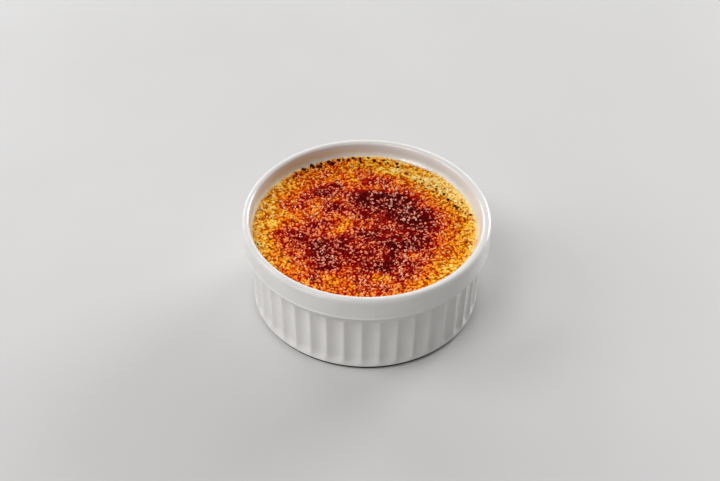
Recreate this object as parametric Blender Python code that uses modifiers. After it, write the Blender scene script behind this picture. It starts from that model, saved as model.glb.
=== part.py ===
"""Creme brulee in its fluted porcelain ramekin, in metres, standing on the origin with +Z up.

Two pieces:
  ramekin   one turned porcelain dish: a plain band under a rounded lip, and a ring of upright
            flutes pressed into the wall below it
  custard   the set custard with its crust of burnt sugar, one solid that fills the dish to a
            few millimetres below the lip
"""

import math

import bmesh
import bpy
from mathutils import Matrix, Vector

MM = 0.001

# Ramekin, outside
RIM_RADIUS = 50.0 * MM
HEIGHT = 41.0 * MM
BAND_FOOT_RADIUS = 49.9 * MM
LEDGE_HEIGHT = 31.0 * MM
LEDGE_DROP = 0.4 * MM
WALL_TOP_RADIUS = 47.3 * MM
WALL_FOOT_RADIUS = 46.2 * MM
LIP_ROUNDING = 1.75 * MM
LEDGE_ROUNDING = 0.5 * MM
FOOT_ROUNDING = 1.1 * MM

# Ramekin, underneath
FOOT_RING_WIDTH = 4.5 * MM
RECESS_DEPTH = 1.2 * MM

# Ramekin, inside
MOUTH_RADIUS = 46.8 * MM
FLOOR_RADIUS = 38.8 * MM
FLOOR_HEIGHT = 5.0 * MM
FLOOR_ROUNDING = 7.0 * MM

# Flutes
FLUTE_COUNT = 42
FLUTE_DEPTH = 1.15 * MM
FLUTE_BALL_RADIUS = 5.0 * MM
FLUTE_LOW_END = 2.6 * MM
FLUTE_HIGH_END = 27.5 * MM
FIRST_RIDGE_ANGLE = math.radians(-1.6)

# Custard
CUSTARD_LEVEL = 34.6 * MM
CUSTARD_GAP = 0.3 * MM
CUSTARD_EDGE_ROUNDING = 0.3 * MM
CUSTARD_BACK_FALL = 0.2 * MM
CUSTARD_DIP = 0.3 * MM
CUSTARD_TOP_RINGS = 7

# Facets
TURN_STEPS = 84
CUSTARD_STEPS = 60
ARC_STEP_ANGLE = math.radians(24)
FLUTE_SEGMENTS = 24
FLUTE_RINGS = 11

TAU = 2 * math.pi


def clear_scene():
    for obj in list(bpy.data.objects):
        bpy.data.objects.remove(obj, do_unlink=True)


def new_collection(name):
    collection = bpy.data.collections.new(name)
    bpy.context.scene.collection.children.link(collection)
    return collection


def new_object(name, mesh, collection):
    obj = bpy.data.objects.new(name, mesh)
    collection.objects.link(obj)
    return obj


def plain_material(name, color, roughness):
    material = bpy.data.materials.new(name)
    material.use_nodes = True
    shader = material.node_tree.nodes["Principled BSDF"]
    shader.inputs["Base Color"].default_value = (*color, 1)
    shader.inputs["Roughness"].default_value = roughness
    shader.inputs["Metallic"].default_value = 0
    return material


def rounded_corner(before, corner, after, radius):
    """The points of an arc of the given radius that takes the place of a corner."""
    into = (before - corner).normalized()
    out_of = (after - corner).normalized()
    half_angle = into.angle(out_of) / 2
    centre = corner + (into + out_of).normalized() * radius / math.sin(half_angle)
    start = corner + into * radius / math.tan(half_angle)
    sweep = (start - centre).angle_signed(corner + out_of * radius / math.tan(half_angle) - centre)
    steps = max(2, round(abs(sweep) / ARC_STEP_ANGLE))
    return [
        centre + Matrix.Rotation(-sweep * step / steps, 2) @ (start - centre)
        for step in range(steps + 1)
    ]


def rounded_outline(corners):
    """An outline from (radius, height, rounding) corners, with an arc at each rounded one."""
    points = [Vector(corner[:2]) for corner in corners]
    outline = []
    for index, (corner, point) in enumerate(zip(corners, points)):
        rounding = corner[2]
        if rounding:
            outline += rounded_corner(points[index - 1], point, points[index + 1], rounding)
        else:
            outline.append(point)
    return outline


def turned_object(name, outline, steps, collection):
    """The solid that an outline from the axis to the axis makes when it turns round Z."""
    mesh = bpy.data.meshes.new(name)
    points = [(point.x, 0, point.y) for point in outline]
    edges = [(index, index + 1) for index in range(len(points) - 1)]
    mesh.from_pydata(points, edges, [])
    obj = new_object(name, mesh, collection)
    screw = obj.modifiers.new("turn", "SCREW")
    screw.axis = "Z"
    screw.angle = TAU
    screw.steps = steps
    screw.render_steps = steps
    screw.use_merge_vertices = True
    screw.merge_threshold = 0.01 * MM
    screw.use_smooth_shade = True
    return obj


def ramekin_outline():
    ring_inner = WALL_FOOT_RADIUS - FOOT_ROUNDING - FOOT_RING_WIDTH
    return rounded_outline([
        (0, FLOOR_HEIGHT, 0),
        (FLOOR_RADIUS, FLOOR_HEIGHT, FLOOR_ROUNDING),
        (MOUTH_RADIUS, HEIGHT, LIP_ROUNDING),
        (RIM_RADIUS, HEIGHT, LIP_ROUNDING),
        (BAND_FOOT_RADIUS, LEDGE_HEIGHT, LEDGE_ROUNDING),
        (WALL_TOP_RADIUS, LEDGE_HEIGHT - LEDGE_DROP, 0),
        (WALL_FOOT_RADIUS, 0, FOOT_ROUNDING),
        (ring_inner, 0, 0),
        (ring_inner - RECESS_DEPTH, RECESS_DEPTH, 0),
        (0, RECESS_DEPTH, 0),
    ])


def wall_radius(height):
    """Radius of the fluted wall's ridges at a height."""
    share = height / (LEDGE_HEIGHT - LEDGE_DROP)
    return WALL_FOOT_RADIUS + (WALL_TOP_RADIUS - WALL_FOOT_RADIUS) * share


def flute_cutter_mesh():
    """A rod with a ball at each end, lying along the wall and biting into it by the flute's depth."""
    bite = FLUTE_BALL_RADIUS - FLUTE_DEPTH
    reach = math.sqrt(FLUTE_BALL_RADIUS**2 - bite**2)
    low = FLUTE_LOW_END + reach
    high = FLUTE_HIGH_END - reach
    mesh = bpy.data.meshes.new("flute_cutter")
    shape = bmesh.new()
    bmesh.ops.create_uvsphere(
        shape, u_segments=FLUTE_SEGMENTS, v_segments=FLUTE_RINGS, radius=FLUTE_BALL_RADIUS
    )
    for vertex in shape.verts:
        end = high if vertex.co.z > 0 else low
        vertex.co.x += wall_radius(end) + bite
        vertex.co.z += end
    shape.to_mesh(mesh)
    shape.free()
    return mesh


def build_ramekin(collection, cutters):
    ramekin = turned_object("ramekin", ramekin_outline(), TURN_STEPS, collection)
    cutter_mesh = flute_cutter_mesh()
    for flute in range(FLUTE_COUNT):
        cutter = new_object(f"flute_cutter_{flute:02d}", cutter_mesh, cutters)
        pitch = TAU / FLUTE_COUNT
        cutter.rotation_euler.z = FIRST_RIDGE_ANGLE - math.pi / 2 + (flute + 0.5) * pitch
        cutter.hide_render = True
        cutter.display_type = "WIRE"
    flutes = ramekin.modifiers.new("flutes", "BOOLEAN")
    flutes.operation = "DIFFERENCE"
    flutes.solver = "EXACT"
    flutes.operand_type = "COLLECTION"
    flutes.collection = cutters
    ramekin.data.materials.append(plain_material("white_glaze", (0.86, 0.85, 0.84), 0.12))
    return ramekin


def custard_outline():
    """The outline of the dish's inside, drawn in by the gap, up to the custard's level."""
    lean = (MOUTH_RADIUS - FLOOR_RADIUS) / (HEIGHT - FLOOR_HEIGHT)
    inset = CUSTARD_GAP * math.hypot(1, lean)
    floor = FLOOR_HEIGHT + CUSTARD_GAP
    floor_corner = FLOOR_RADIUS + lean * CUSTARD_GAP - inset
    level_corner = FLOOR_RADIUS + lean * (CUSTARD_LEVEL - FLOOR_HEIGHT) - inset
    top_radius = level_corner - CUSTARD_EDGE_ROUNDING
    rings = [
        (top_radius * ring / CUSTARD_TOP_RINGS, CUSTARD_LEVEL, 0)
        for ring in range(CUSTARD_TOP_RINGS)
    ]
    return rounded_outline([
        *rings,
        (level_corner, CUSTARD_LEVEL, CUSTARD_EDGE_ROUNDING),
        (floor_corner, floor, FLOOR_ROUNDING - CUSTARD_GAP),
        (0, floor, 0),
    ])


def surface_fall(x, y):
    """How far the crust lies under its level: it dips in the middle and falls to the back."""
    across = math.hypot(x, y) / MOUTH_RADIUS
    return CUSTARD_DIP * math.cos(across * math.pi / 2) + CUSTARD_BACK_FALL * y / MOUTH_RADIUS


def build_custard(collection):
    custard = turned_object("custard", custard_outline(), CUSTARD_STEPS, collection)
    solid = bpy.data.meshes.new_from_object(
        custard.evaluated_get(bpy.context.evaluated_depsgraph_get())
    )
    custard.modifiers.clear()
    custard.data = solid
    floor = FLOOR_HEIGHT + FLOOR_ROUNDING
    for vertex in solid.vertices:
        if vertex.co.z > floor:
            share = (vertex.co.z - floor) / (CUSTARD_LEVEL - floor)
            vertex.co.z -= surface_fall(vertex.co.x, vertex.co.y) * share
    solid.materials.append(plain_material("burnt_sugar", (0.42, 0.13, 0.02), 0.25))
    return custard


def build():
    clear_scene()
    pieces = new_collection("creme_brulee")
    cutters = new_collection("cutters")
    cutters.hide_render = True
    build_ramekin(pieces, cutters)
    build_custard(pieces)


build()
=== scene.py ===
# %% [markdown]
# # Creme brulee in its ramekin
#
# Custard is baked in a small porcelain dish, dusted with sugar and burnt under a flame, until the
# sugar melts and sets as a thin amber crust. Two things make the picture: a very smooth white dish
# with crisp flutes, and a very rough glassy crust inside it. The dish is a calm turned shape, so
# almost all of the work below goes into the crust.
#
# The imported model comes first. It fixes the size and place of both pieces, and everything that
# follows is fitted around it.

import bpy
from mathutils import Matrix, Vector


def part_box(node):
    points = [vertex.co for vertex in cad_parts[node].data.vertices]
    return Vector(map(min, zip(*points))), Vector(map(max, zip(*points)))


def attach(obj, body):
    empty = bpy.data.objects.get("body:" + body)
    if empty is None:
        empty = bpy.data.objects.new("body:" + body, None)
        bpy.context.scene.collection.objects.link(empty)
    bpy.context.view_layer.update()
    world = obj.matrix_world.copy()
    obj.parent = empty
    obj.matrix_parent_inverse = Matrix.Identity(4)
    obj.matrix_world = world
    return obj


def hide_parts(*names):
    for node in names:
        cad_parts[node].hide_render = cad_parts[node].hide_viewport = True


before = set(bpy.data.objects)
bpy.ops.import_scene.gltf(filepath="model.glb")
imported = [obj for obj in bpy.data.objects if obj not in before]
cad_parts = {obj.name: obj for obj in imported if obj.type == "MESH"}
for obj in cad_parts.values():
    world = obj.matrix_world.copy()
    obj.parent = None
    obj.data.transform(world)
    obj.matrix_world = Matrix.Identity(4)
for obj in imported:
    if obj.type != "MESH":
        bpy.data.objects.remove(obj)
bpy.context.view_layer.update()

# %% Modules and units
import math
import random

import bmesh
import bpy
import numpy as np
from mathutils import Euler, Matrix, Vector, noise

MM = 0.001
TAU = 2 * math.pi

# %% [markdown]
# ## Sizes from the imported model
#
# The rim, the height and the custard's level are read from the boxes of the imported parts, so the
# fine pieces can't drift away from the imported ones.

# %% Sizes of the dish and the custard
dish_low, dish_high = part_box("ramekin")
custard_low, custard_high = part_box("custard")

RIM_RADIUS = dish_high[0]
HEIGHT = dish_high[2]
CRUST_LEVEL = custard_high[2] - 0.2 * MM
print(f"rim radius {RIM_RADIUS / MM:.2f}, height {HEIGHT / MM:.2f}, crust at {CRUST_LEVEL / MM:.2f} mm")

# %% [markdown]
# ## Camera
#
# The camera looks down at the dish at about forty degrees, from sixty centimetres away through a
# short telephoto lens, and it leans by less than a degree. Its matrix is read from left to right:
# go to the point it looks at, tip, lean, and back off along its own axis.

# %% Camera
CAMERA_ELEVATION = math.radians(41.68)
CAMERA_LEAN = math.radians(0.83)
CAMERA_DISTANCE = 0.6
CAMERA_LENS = 71.6
LOOK_AT = Vector((-2.5, 13.5, 15.1)) * MM


def set_up_camera():
    data = bpy.data.cameras.new("camera")
    data.lens = CAMERA_LENS
    data.sensor_width = 36
    camera = bpy.data.objects.new("camera", data)
    bpy.context.scene.collection.objects.link(camera)
    tip = Matrix.Rotation(math.pi / 2 - CAMERA_ELEVATION, 4, "X")
    lean = Matrix.Rotation(CAMERA_LEAN, 4, "Z")
    back_off = Matrix.Translation((0, 0, CAMERA_DISTANCE))
    camera.matrix_world = Matrix.Translation(LOOK_AT) @ tip @ lean @ back_off
    bpy.context.scene.camera = camera
    return camera


camera = set_up_camera()
print("camera at", [round(v, 3) for v in camera.matrix_world.translation])

# %% [markdown]
# ## Helpers for finishes
#
# Every finish is a graph of nodes that feeds one Principled shader. A graph is easier to read when
# each line makes one node and hands its result on, so these helpers do just that: they add a node,
# give its inputs values or links by name, and return the output that the next line needs. A finish
# starts with `new_finish`, works out its numbers and colours, and ends by dressing the shader.

# %% Finish helpers
def feed(tree, socket, value):
    """Gives an input either a link or a plain value."""
    if isinstance(value, bpy.types.NodeSocket):
        tree.links.new(value, socket)
    else:
        socket.default_value = value


def add_node(tree, kind, inputs, **settings):
    node = tree.nodes.new(kind)
    for name, value in settings.items():
        setattr(node, name, value)
    for name, value in inputs.items():
        feed(tree, node.inputs[name], value)
    return node


def rgb(red, green, blue):
    """A colour as the eye's values from 0 to 255, turned into the linear values nodes work in."""
    return (*[((value / 255 + 0.055) / 1.055) ** 2.4 for value in (red, green, blue)], 1)


def new_finish(name):
    """A material, its nodes, and object coordinates, which keep a pattern still on the piece."""
    material = bpy.data.materials.new(name)
    material.use_nodes = True
    tree = material.node_tree
    return material, tree, add_node(tree, "ShaderNodeTexCoord", {}).outputs["Object"]


def dress(tree, colour, roughness, normal=None, gloss=0.5):
    """Gives the shader its colour, roughness and relief, and how strongly it mirrors at all."""
    shader = tree.nodes["Principled BSDF"]
    feed(tree, shader.inputs["Base Color"], colour)
    feed(tree, shader.inputs["Roughness"], roughness)
    if normal:
        feed(tree, shader.inputs["Normal"], normal)
    shader.inputs["Specular IOR Level"].default_value = gloss
    return shader


def put_on(mesh, material):
    """Puts a finish on a mesh, and says how many nodes it took."""
    mesh.materials.append(material)
    print(material.name, "is made of", len(material.node_tree.nodes), "nodes")


# %% Helpers for numbers and colours
NOISE_SPAN = (0.3, 0.7)


def mottle(tree, place, size, detail=2.0):
    """Soft noise from 0 to 1 whose lumps are about the given size across."""
    inputs = {"Vector": place, "Scale": 1 / size, "Detail": detail}
    return add_node(tree, "ShaderNodeTexNoise", inputs).outputs["Fac"]


def stretch(tree, value, low, high, new_low, new_high):
    """Maps a value's range onto another one, clipped at both ends."""
    inputs = {"Value": value, "From Min": low, "From Max": high, "To Min": new_low, "To Max": new_high}
    return add_node(tree, "ShaderNodeMapRange", inputs).outputs["Result"]


def wander(tree, place, size, low, high, detail=2.0):
    """A number that wanders between two values. Nearly all of a noise lies in its middle span."""
    return stretch(tree, mottle(tree, place, size, detail), *NOISE_SPAN, low, high)


def maths(tree, operation, first, second):
    node = add_node(tree, "ShaderNodeMath", {}, operation=operation)
    feed(tree, node.inputs[0], first)
    feed(tree, node.inputs[1], second)
    return node.outputs[0]


def colour_along(tree, value, stops):
    """Colours along a value from 0 to 1, given as (position, colour) stops."""
    node = add_node(tree, "ShaderNodeValToRGB", {"Fac": value})
    elements = node.color_ramp.elements
    while len(elements) < len(stops):
        elements.new(0.5)
    for element, (position, colour) in zip(elements, stops):
        element.position = position
        element.color = colour
    return node.outputs["Color"]


def blend(tree, share, first, second):
    """Mixes two colours. A Mix node's colour sockets come after those for numbers and vectors."""
    node = add_node(tree, "ShaderNodeMix", {}, data_type="RGBA")
    feed(tree, node.inputs[0], share)
    feed(tree, node.inputs[6], first)
    feed(tree, node.inputs[7], second)
    return node.outputs[2]


def relief(tree, height, depth):
    """A bump whose full height is a real depth."""
    return add_node(tree, "ShaderNodeBump", {"Height": height, "Distance": depth}).outputs["Normal"]


# %% [markdown]
# ## Floor and light
#
# The dish stands on a plain pale floor. White porcelain has no colour of its own to show, so its
# shape is drawn by the light alone: the left and the back are bright, and the light dies away
# towards the front on the right. Six softboxes round the dish do that, with a faint even light
# from the room. The one behind the dish is long and low like a window. Low lights at each side of
# it draw the white lines along the lip, because a round lip sends light down to the eye only from
# lights that stand low. No light comes from the front on the right, so the flutes there are in
# soft shade.

# %% Floor
FLOOR_SIZE = 4.0


def floor_finish():
    material, tree, place = new_finish("pale_floor")
    tones = [(0.3, rgb(202, 201, 201)), (0.7, rgb(206, 205, 205))]
    tone = colour_along(tree, mottle(tree, place, 120 * MM, 4), tones)
    dress(tree, tone, wander(tree, place, 50 * MM, 0.45, 0.55))
    return material


bpy.ops.mesh.primitive_plane_add(size=FLOOR_SIZE)
floor = bpy.context.object
floor.name = "floor"
floor.location.z = dish_low[2]
put_on(floor.data, floor_finish())


# %% Lights
LIGHT_DISTANCE = 2.0
SOFTBOXES = {
    # name: azimuth from the right, height in degrees, height and width in metres, watts
    "back_window": (90, 28, 0.4, 3.7, 16.5),
    "back_left_light": (124, 24, 0.55, 0.8, 5.7),
    "back_right_light": (46, 12, 0.9, 0.9, 34.0),
    "left_light": (180, 35, 0.9, 0.9, 12.6),
    "low_left_light": (225, 12, 0.9, 0.9, 4.0),
    "high_left_light": (225, 60, 0.9, 0.9, 15.4),
}
ROOM_LIGHT = 0.19
ROOM_COLOUR = rgb(255, 253, 250)


def hang_softbox(name, azimuth, elevation, height, width, power):
    data = bpy.data.lights.new(name, "AREA")
    data.shape = "RECTANGLE"
    data.size = height
    data.size_y = width
    data.energy = power
    light = bpy.data.objects.new(name, data)
    bpy.context.scene.collection.objects.link(light)
    turn = Euler((0, math.radians(90 - elevation), math.radians(azimuth))).to_matrix().to_4x4()
    middle = Matrix.Translation((0, 0, HEIGHT / 2))
    light.matrix_world = middle @ turn @ Matrix.Translation((0, 0, LIGHT_DISTANCE))


def light_the_room():
    """A faint even light from all round."""
    world = bpy.data.worlds.new("room")
    world.use_nodes = True
    background = world.node_tree.nodes["Background"]
    background.inputs["Color"].default_value = ROOM_COLOUR
    background.inputs["Strength"].default_value = ROOM_LIGHT
    bpy.context.scene.world = world


for name, placing in SOFTBOXES.items():
    hang_softbox(name, *placing)
light_the_room()
bpy.context.scene.view_settings.view_transform = "Standard"
watts = sum(placing[-1] for placing in SOFTBOXES.values())
print(len(SOFTBOXES), "softboxes,", round(watts, 1), "watts in all")

# %% [markdown]
# ## The profile of the dish
#
# A dish like this is a profile turned about an axis. The profile is a short list of corners, and
# each corner says how far it is rounded and how closely the straight that leads to it is divided:
# finely where flutes begin and end, hardly at all under the custard, where nobody looks.

# %% Profile
BAND_FOOT_RADIUS = RIM_RADIUS - 0.1 * MM
LEDGE_HEIGHT = 31.0 * MM
COVE_HEIGHT = 30.7 * MM
WALL_TOP_RADIUS = 47.3 * MM
WALL_FOOT_RADIUS = 46.3 * MM
MOUTH_RADIUS = 46.8 * MM
FLOOR_RADIUS = 38.8 * MM
FLOOR_HEIGHT = 5.0 * MM
LIP_ROUNDING = 1.5 * MM
FOOT_GAP = 1.7 * MM
FOOT_SET_BACK = 0.9 * MM
FOOT_RING_WIDTH = 4.0 * MM
RECESS_DEPTH = 1.2 * MM
ARC_STEP = math.radians(11)
LONG = 20 * MM


# %% Rounded corners
def arc_at(before, corner, after, rounding):
    """The points of the arc that takes a corner's place."""
    into = (before - corner).normalized()
    out_of = (after - corner).normalized()
    half_angle = into.angle(out_of) / 2
    centre = corner + (into + out_of).normalized() * rounding / math.sin(half_angle)
    start = corner + into * rounding / math.tan(half_angle) - centre
    end = corner + out_of * rounding / math.tan(half_angle) - centre
    sweep = start.angle_signed(end)
    steps = max(3, round(abs(sweep) / ARC_STEP))
    return [centre + Matrix.Rotation(-sweep * step / steps, 2) @ start for step in range(steps + 1)]


def smooth_profile(corners):
    """A profile from (radius, height, rounding, spacing) corners."""
    points = [Vector(corner[:2]) for corner in corners]
    profile = [points[0]]
    for index, (_, _, rounding, spacing) in list(enumerate(corners))[1:]:
        turning = [points[index]]
        if rounding:
            turning = arc_at(points[index - 1], points[index], points[index + 1], rounding)
        start = profile[-1]
        parts = max(1, math.ceil((turning[0] - start).length / spacing))
        profile += [start.lerp(turning[0], part / parts) for part in range(1, parts)]
        profile += turning
    return profile


# %% Corners of the dish
def wall_radius(height):
    """Radius of the outer wall, without flutes, at a height."""
    return WALL_FOOT_RADIUS + (WALL_TOP_RADIUS - WALL_FOOT_RADIUS) * height / COVE_HEIGHT


def bore_radius(height):
    """Radius of the inside of the dish at a height."""
    way_up = (height - FLOOR_HEIGHT) / (HEIGHT - FLOOR_HEIGHT)
    return FLOOR_RADIUS + (MOUTH_RADIUS - FLOOR_RADIUS) * way_up


def wall_stop(height, spacing):
    """A place on the outer wall where the spacing of the points changes."""
    return wall_radius(height), height, 0, spacing


RING_OUTER = WALL_FOOT_RADIUS - FOOT_SET_BACK
RING_INNER = WALL_FOOT_RADIUS - FOOT_RING_WIDTH
dish_profile = smooth_profile([
    # radius, height, rounding, spacing of the points on the way there
    (0, FLOOR_HEIGHT, 0, LONG),
    (FLOOR_RADIUS, FLOOR_HEIGHT, 7 * MM, LONG),
    (MOUTH_RADIUS, HEIGHT, LIP_ROUNDING, 2.2 * MM),
    (RIM_RADIUS, HEIGHT, LIP_ROUNDING, LONG),
    (BAND_FOOT_RADIUS, LEDGE_HEIGHT, 0.4 * MM, 1.2 * MM),
    (WALL_TOP_RADIUS, COVE_HEIGHT, 0.15 * MM, 0.8 * MM),
    wall_stop(25.5 * MM, 0.32 * MM),
    wall_stop(9 * MM, 3 * MM),
    wall_stop(5 * MM, 0.8 * MM),
    (WALL_FOOT_RADIUS, FOOT_GAP, 0.3 * MM, 0.45 * MM),
    (RING_OUTER, FOOT_GAP, 0.2 * MM, LONG),
    (RING_OUTER, 0, 0.2 * MM, 0.3 * MM),
    (RING_INNER, 0, 0.3 * MM, LONG),
    (RING_INNER - RECESS_DEPTH, RECESS_DEPTH, 0.3 * MM, LONG),
    (0, RECESS_DEPTH, 0, LONG),
])
print(len(dish_profile), "points in the profile")

# %% [markdown]
# ## Turning the dish
#
# A Screw modifier would turn the profile just as well, but the flutes need every point of the wall
# afterwards, so the spin is done straight in mesh code: one ring of points for each point of the
# profile, and four-sided faces that bridge each ring to the next.

# %% Mesh helpers
def new_mesh(name, points, faces, smooth=True):
    mesh = bpy.data.meshes.new(name)
    mesh.from_pydata(points, [], faces)
    if smooth:
        mesh.shade_smooth()
    return mesh


def bridge(starts, around):
    """Faces that join closed loops of points, each given by the number of its first point."""
    return [
        (first + step, second + step, second + (step + 1) % around, first + (step + 1) % around)
        for first, second in zip(starts, starts[1:])
        for step in range(around)
    ]


def cap(pole, start, around):
    """Triangles that join one point to a closed loop of points."""
    return [(pole, start + step, start + (step + 1) % around) for step in range(around)]


def flip(faces):
    """The same faces, looking the other way."""
    return [face[::-1] for face in faces]


def read_points(mesh):
    points = np.empty(len(mesh.vertices) * 3)
    mesh.vertices.foreach_get("co", points)
    return points.reshape(-1, 3)


def write_points(mesh, points):
    mesh.vertices.foreach_set("co", points.ravel())
    mesh.update()


def polar(points):
    """Each point's distance from the axis, and its angle round it."""
    return np.hypot(points[:, 0], points[:, 1]), np.arctan2(points[:, 1], points[:, 0])


def show_piece(name, mesh):
    piece = bpy.data.objects.new(name, mesh)
    bpy.context.scene.collection.objects.link(piece)
    return piece


def triangles_in(mesh):
    """A face with four corners is two triangles, and so on up."""
    return len(mesh.loops) - 2 * len(mesh.polygons)


# %% Turn
FLUTE_COUNT = 42
STEPS_PER_FLUTE = 16


def turned_mesh(name, profile, steps):
    """Turns a profile that starts and ends on the axis into one closed mesh."""
    rings = profile[1:-1]
    angles = np.arange(steps) * TAU / steps
    ring_points = [
        np.stack([point.x * np.cos(angles), point.x * np.sin(angles), np.full(steps, point.y)], 1)
        for point in rings
    ]
    points = np.concatenate([*ring_points, [(0, 0, profile[0].y), (0, 0, profile[-1].y)]])
    first_pole, last_pole = len(points) - 2, len(points) - 1
    starts = range(0, len(rings) * steps, steps)
    faces = bridge(starts, steps)
    faces += cap(first_pole, 0, steps) + flip(cap(last_pole, starts[-1], steps))
    return new_mesh(name, points, faces)


dish_mesh = turned_mesh("ramekin_glazed", dish_profile, FLUTE_COUNT * STEPS_PER_FLUTE)
print("dish:", triangles_in(dish_mesh), "triangles")

# %% [markdown]
# ## Flutes
#
# The flutes are grooves that a round-nosed tool would leave side by side, with a narrow soft ridge
# between each two. Forty-two Booleans would cut them, but every groove is the same simple shape:
# how far the nose of the tool bites at a point depends only on how far the point lies from the
# groove's middle line. So each point of the wall is pushed in by that much. A soft minimum of the
# plain wall and the groove melts the edges between them, as glaze does. Each groove ends short of
# the foot, and just under the band: past its ends the tool counts as moving away from the wall.

# %% Press the flutes
FLUTE_DEPTH = 1.1 * MM
NOSE_RADIUS = 5.6 * MM
FLUTE_LOW_END = 2.5 * MM
FLUTE_HIGH_END = 27.0 * MM
LOW_END_STRETCH = 1.2
HIGH_END_STRETCH = 0.25
FIRST_RIDGE_ANGLE = math.radians(-91.6)
RIDGE_SOFTNESS = 0.7 * MM
INSIDE_FLUTED_WALL = 45.5 * MM
FLUTED_WALL_TOP = COVE_HEIGHT - 0.3 * MM


def soft_minimum(first, second, softness):
    share = np.clip(0.5 + (second - first) / (2 * softness), 0, 1)
    return second + (first - second) * share - softness * share * (1 - share)


def press_flutes(points):
    pitch = TAU / FLUTE_COUNT
    nose_centre = NOSE_RADIUS - FLUTE_DEPTH
    reach = math.sqrt(NOSE_RADIUS**2 - nose_centre**2)
    radius, angle = polar(points)
    height = points[:, 2]
    sideways = ((angle - FIRST_RIDGE_ANGLE) / pitch % 1 - 0.5) * pitch * radius
    below = np.maximum(FLUTE_LOW_END + reach * LOW_END_STRETCH - height, 0) / LOW_END_STRETCH
    above = np.maximum(height - FLUTE_HIGH_END + reach * HIGH_END_STRETCH, 0) / HIGH_END_STRETCH
    inside = NOSE_RADIUS**2 - sideways**2 - below**2 - above**2
    groove = radius + nose_centre - np.sqrt(np.maximum(inside, 0))
    pressed = soft_minimum(groove, radius, RIDGE_SOFTNESS)
    on_wall = (radius > INSIDE_FLUTED_WALL) & (height > FOOT_GAP) & (height < FLUTED_WALL_TOP)
    scale = np.where(on_wall, pressed / np.maximum(radius, MM), 1)
    points[:, 0] *= scale
    points[:, 1] *= scale


dish_points = read_points(dish_mesh)
press_flutes(dish_points)
print(FLUTE_COUNT, "flutes,", round(FLUTE_DEPTH / MM, 1), "mm deep")

# %% [markdown]
# ## Signs of the mould
#
# A slip-cast dish is never perfect. The bore sits a little to one side of the outside, so the wall
# shows wider on the right than on the left, and the two halves of the mould leave a hair-thin seam
# down the plain band, which the glaze has almost drowned.

# %% Bore and seam
BORE_SHIFT_AT_LIP = 0.3 * MM
BORE_SHIFT_DEEP = 0.8 * MM
LIP_MIDDLE = 48.6 * MM
INSIDE_FOOT_RING = 44.8 * MM
SEAM_ANGLE = math.radians(-86)
SEAM_HEIGHT = 0.10 * MM
SEAM_WIDTH = 0.35 * MM
INSIDE_BAND = 49.5 * MM


def bore_shift(height):
    """How far the inside has moved to the left at a height."""
    deep = np.clip((HEIGHT - height) / (HEIGHT - CRUST_LEVEL), 0, 1)
    return BORE_SHIFT_AT_LIP + (BORE_SHIFT_DEEP - BORE_SHIFT_AT_LIP) * deep


def shift_bore(points):
    radius, _ = polar(points)
    height = points[:, 2]
    inside_lip = np.clip((LIP_MIDDLE - radius) / (LIP_MIDDLE - MOUTH_RADIUS), 0, 1)
    inside_wall = np.where(radius < INSIDE_FOOT_RING, 1.0, 0.0)
    share = np.where(height > LEDGE_HEIGHT, inside_lip, inside_wall)
    share = share * (height > FLOOR_HEIGHT - 0.1 * MM)
    points[:, 0] -= share * bore_shift(height)


def raise_seam(points):
    radius, angle = polar(points)
    off_seam = (angle - SEAM_ANGLE) * radius
    on_band = (points[:, 2] > LEDGE_HEIGHT + 0.3 * MM) & (radius > INSIDE_BAND)
    lift = np.where(on_band, SEAM_HEIGHT * np.exp(-((off_seam / SEAM_WIDTH) ** 2)), 0)
    scale = 1 + (lift - SEAM_HEIGHT * on_band) / np.maximum(radius, MM)
    points[:, 0] *= scale
    points[:, 1] *= scale


shift_bore(dish_points)
raise_seam(dish_points)
write_points(dish_mesh, dish_points)
dish = show_piece("ramekin_glazed", dish_mesh)
print("widest point of the dish:", round(np.abs(dish_points[:, :2]).max() / MM, 3), "mm")

# %% [markdown]
# ## White glaze
#
# Glazed porcelain is almost white and a little warm. The glaze over it is a clear glossy skin that
# pools and ripples very slightly, which is what keeps its reflections from looking like plastic.
#
# The inside is painted darker than the outside, as painted shade: grey almost everywhere on the
# wall, warm brown at the back on the left, where the wall faces away from the light, and none on
# the right, where the light falls on it. It is a number at each point of the dish, which tints the
# glaze. Just above the crust a ragged strip is painted lighter, as painted light. A second number
# paints shade into the narrow crease above the table, where the set-back foot keeps out light. It
# makes the thin dark line that a dish shows where it stands.

# %% Painted shade inside the dish and in the foot's crease
# painted shade: a near-black colour in the crease under the set-back foot, just above the floor
FOOT_CREASE_SHADE = rgb(22, 20, 18)
CREASE_SHADE_HEIGHT = 1.2 * MM
CREASE_SHADE_FADE = 0.4 * MM
# painted shade on the inner wall: grey all round, brown at the back on the left, none on the right
SHADE_EVERYWHERE = 0.3
SHADE_START = HEIGHT - 0.4 * MM
SHADE_FADE = 1.5 * MM
BORE_MARGIN = 0.8 * MM
BROWN_SHADE_ANGLE = math.radians(128)
BROWN_SHADE_WIDTH = math.radians(34)
LIT_WALL_ANGLE = math.radians(0)
LIT_WALL_WIDTH = math.radians(28)


def angle_between(angle, other):
    return (angle - other + math.pi) % TAU - math.pi


def paint_inner_shade(points):
    """How much painted shade each point gets: 0 outside and on the lip, 1 where it is brown."""
    radius, angle = polar(points)
    brown = np.exp(-((angle_between(angle, BROWN_SHADE_ANGLE) / BROWN_SHADE_WIDTH) ** 2))
    clean = np.exp(-((angle_between(angle, LIT_WALL_ANGLE) / LIT_WALL_WIDTH) ** 2))
    inner_shade = SHADE_EVERYWHERE * (1 - clean) + (1 - SHADE_EVERYWHERE) * brown
    below_lip = np.clip((SHADE_START - points[:, 2]) / SHADE_FADE, 0, 1)
    in_bore = radius < bore_radius(points[:, 2]) + BORE_MARGIN
    inside = in_bore & (points[:, 2] > FLOOR_HEIGHT - 0.1 * MM)
    return inner_shade * below_lip * inside


# painted shade in the crease under the foot
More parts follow.
